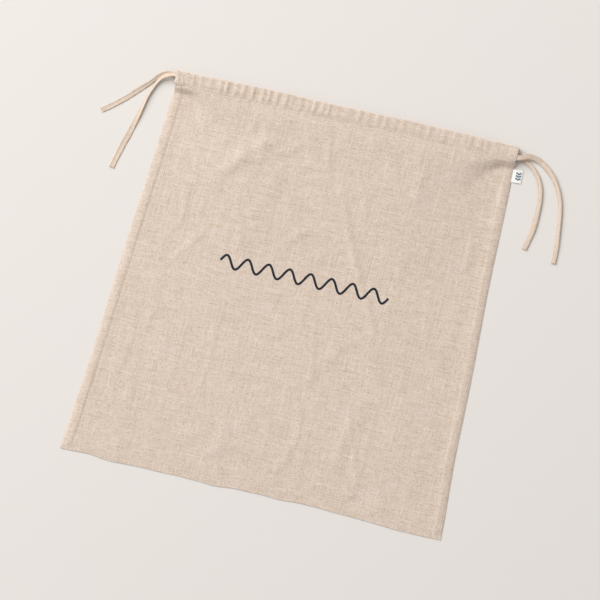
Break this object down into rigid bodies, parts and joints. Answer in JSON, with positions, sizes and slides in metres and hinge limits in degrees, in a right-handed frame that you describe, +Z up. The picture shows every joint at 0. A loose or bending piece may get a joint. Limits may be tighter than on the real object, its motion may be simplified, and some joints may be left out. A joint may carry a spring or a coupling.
{
  "type": "laundry bag",
  "caption": "Flat linen-look drawstring laundry bag with a double drawstring through front and back casings, a wave print and a folded side label.",
  "frame": {"origin": "centre of the flat bag's underside, leaving out the loose tape ends", "axes": "+X along the mouth to the side with the label, +Y from the bottom fold to the mouth, +Z up from the surface it lies on, through the thickness"},
  "size_m": [0.6162, 0.506, 0.0098],
  "materials": {
    "linen_cloth": "matt plain-weave cotton and linen with slubs and small dark flecks",
    "drawstring_tape": "matt folded fabric tape with tan edges",
    "thread": "matt cotton sewing thread",
    "label_satin": "smooth white ribbon",
    "label_ink": "matt slate-blue ink on ribbon",
    "print_ink": "matt near-black ink printed on cloth"
  },
  "bodies": {
    "bag": {"front_panel": "linen_cloth", "back_panel": "linen_cloth", "bottom_fold": "linen_cloth", "left_side_seam": "linen_cloth", "right_side_seam": "linen_cloth", "left_seam_stitching": "thread", "right_seam_stitching": "thread", "front_casing_outer_ply": "linen_cloth", "front_casing_turned_ply": "linen_cloth", "back_casing_outer_ply": "linen_cloth", "back_casing_turned_ply": "linen_cloth", "front_casing_stitching": "thread", "back_casing_stitching": "thread", "front_print": "print_ink"},
    "left_casing_end": {"left_front_hem": "linen_cloth", "left_back_hem": "linen_cloth", "left_front_hem_stitching": "thread", "left_back_hem_stitching": "thread"},
    "left_drawstring": {"left_drawstring": "drawstring_tape", "left_front_tail": "drawstring_tape", "left_back_tail": "drawstring_tape"},
    "right_casing_end": {"right_front_hem": "linen_cloth", "right_back_hem": "linen_cloth", "right_front_hem_stitching": "thread", "right_back_hem_stitching": "thread"},
    "right_drawstring": {"right_drawstring": "drawstring_tape", "right_front_tail": "drawstring_tape", "right_back_tail": "drawstring_tape"},
    "side_label": {"side_label": "label_satin", "label_mark": "label_ink"}
  },
  "joints": [
    {"name": "left_drawstring_pull", "type": "slide", "parent": "bag", "child": "left_drawstring", "axis": [-1, 0, 0], "range_m": [0, 0.11], "deforming": ["front_panel", "back_panel", "bottom_fold", "left_side_seam", "right_side_seam", "left_seam_stitching", "right_seam_stitching", "front_casing_outer_ply", "front_casing_turned_ply", "back_casing_outer_ply", "back_casing_turned_ply", "front_casing_stitching", "back_casing_stitching"]},
    {"name": "right_casing_end_gather", "type": "slide", "parent": "bag", "child": "right_casing_end", "axis": [-1, 0, 0], "range_m": [0, 0.11]},
    {"name": "right_drawstring_pull", "type": "slide", "parent": "bag", "child": "right_drawstring", "axis": [1, 0, 0], "range_m": [0, 0.11], "deforming": ["front_panel", "back_panel", "bottom_fold", "left_side_seam", "right_side_seam", "left_seam_stitching", "right_seam_stitching", "front_casing_outer_ply", "front_casing_turned_ply", "back_casing_outer_ply", "back_casing_turned_ply", "front_casing_stitching", "back_casing_stitching"]},
    {"name": "left_casing_end_gather", "type": "slide", "parent": "bag", "child": "left_casing_end", "axis": [1, 0, 0], "range_m": [0, 0.11]},
    {"name": "label_flap", "type": "hinge", "parent": "right_casing_end", "child": "side_label", "pos_m": [0.22708, 0.217, 0.00075], "axis": [0.0493, -0.9988, 0], "range_deg": [0, 150]}
  ],
  "couplings": [
    {"joint": "right_casing_end_gather", "follows": "left_drawstring_pull", "ratio": 1},
    {"joint": "left_casing_end_gather", "follows": "right_drawstring_pull", "ratio": 1}
  ]
}
